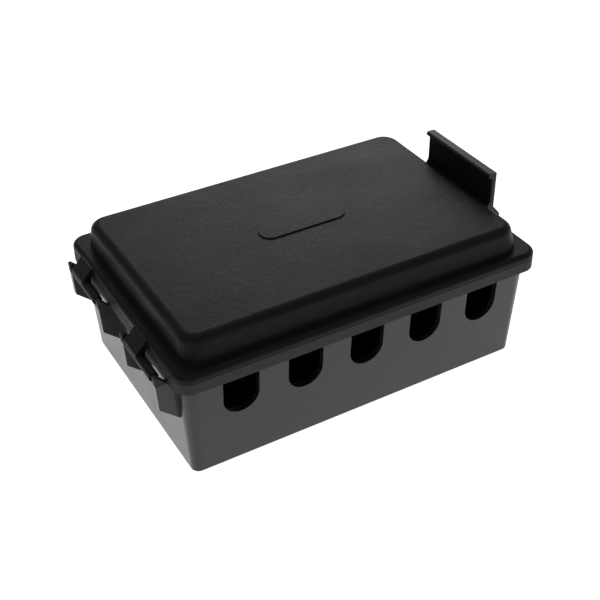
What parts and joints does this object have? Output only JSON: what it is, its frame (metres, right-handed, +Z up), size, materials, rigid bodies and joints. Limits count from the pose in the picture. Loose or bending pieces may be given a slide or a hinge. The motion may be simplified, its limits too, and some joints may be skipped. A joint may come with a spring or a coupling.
{
  "type": "cable junction box",
  "caption": "Black moulded cable junction box with a pin-hinged pillow lid, a flip-up end latch, round-bottomed cable slots along both long walls and a screw terminal strip inside.",
  "frame": {"origin": "centre of the tub's flat base, on the surface the box stands on", "axes": "+X along the length towards the latch end, +Y from the front wall to the back wall, +Z up through the lid"},
  "size_m": [0.2043, 0.1286, 0.087],
  "materials": {
    "box_plastic": "satin black moulded polypropylene",
    "lid_plastic": "satin black moulded polypropylene, finely textured",
    "latch_plastic": "satin black moulded polypropylene",
    "seal_rubber": "matt black rubber",
    "pin_steel": "dark zinc-plated steel",
    "strip_plastic": "matt black phenolic",
    "marker_card": "plain off-white plastic, left blank",
    "terminal_brass": "plain brass",
    "screw_steel": "zinc-plated steel"
  },
  "bodies": {
    "tub": {"body_tub": "box_plastic", "lid_seal": "seal_rubber", "hinge_pin_front": "pin_steel", "hinge_pin_rear": "pin_steel", "terminal_strip": "strip_plastic", "marker_strip": "marker_card", "clamp_screws_front": "screw_steel", "clamp_screws_rear": "screw_steel", "strip_screws": "screw_steel", "terminal_bar_1": "terminal_brass", "terminal_bar_2": "terminal_brass", "terminal_bar_3": "terminal_brass", "terminal_bar_4": "terminal_brass", "terminal_bar_5": "terminal_brass", "terminal_bar_6": "terminal_brass", "terminal_bar_7": "terminal_brass", "terminal_bar_8": "terminal_brass"},
    "lid": {"lid_cover": "lid_plastic", "latch_pin": "pin_steel"},
    "latch": {"latch_clip": "latch_plastic"}
  },
  "joints": [
    {"name": "lid_hinge", "type": "hinge", "parent": "tub", "child": "lid", "pos_m": [-0.1003, 0, 0.0539], "axis": [0, -1, 0], "range_deg": [0, 180]},
    {"name": "latch_hinge", "type": "hinge", "parent": "lid", "child": "latch", "pos_m": [0.0982, 0, 0.0613], "axis": [0, 1, 0], "range_deg": [0, 180]}
  ]
}
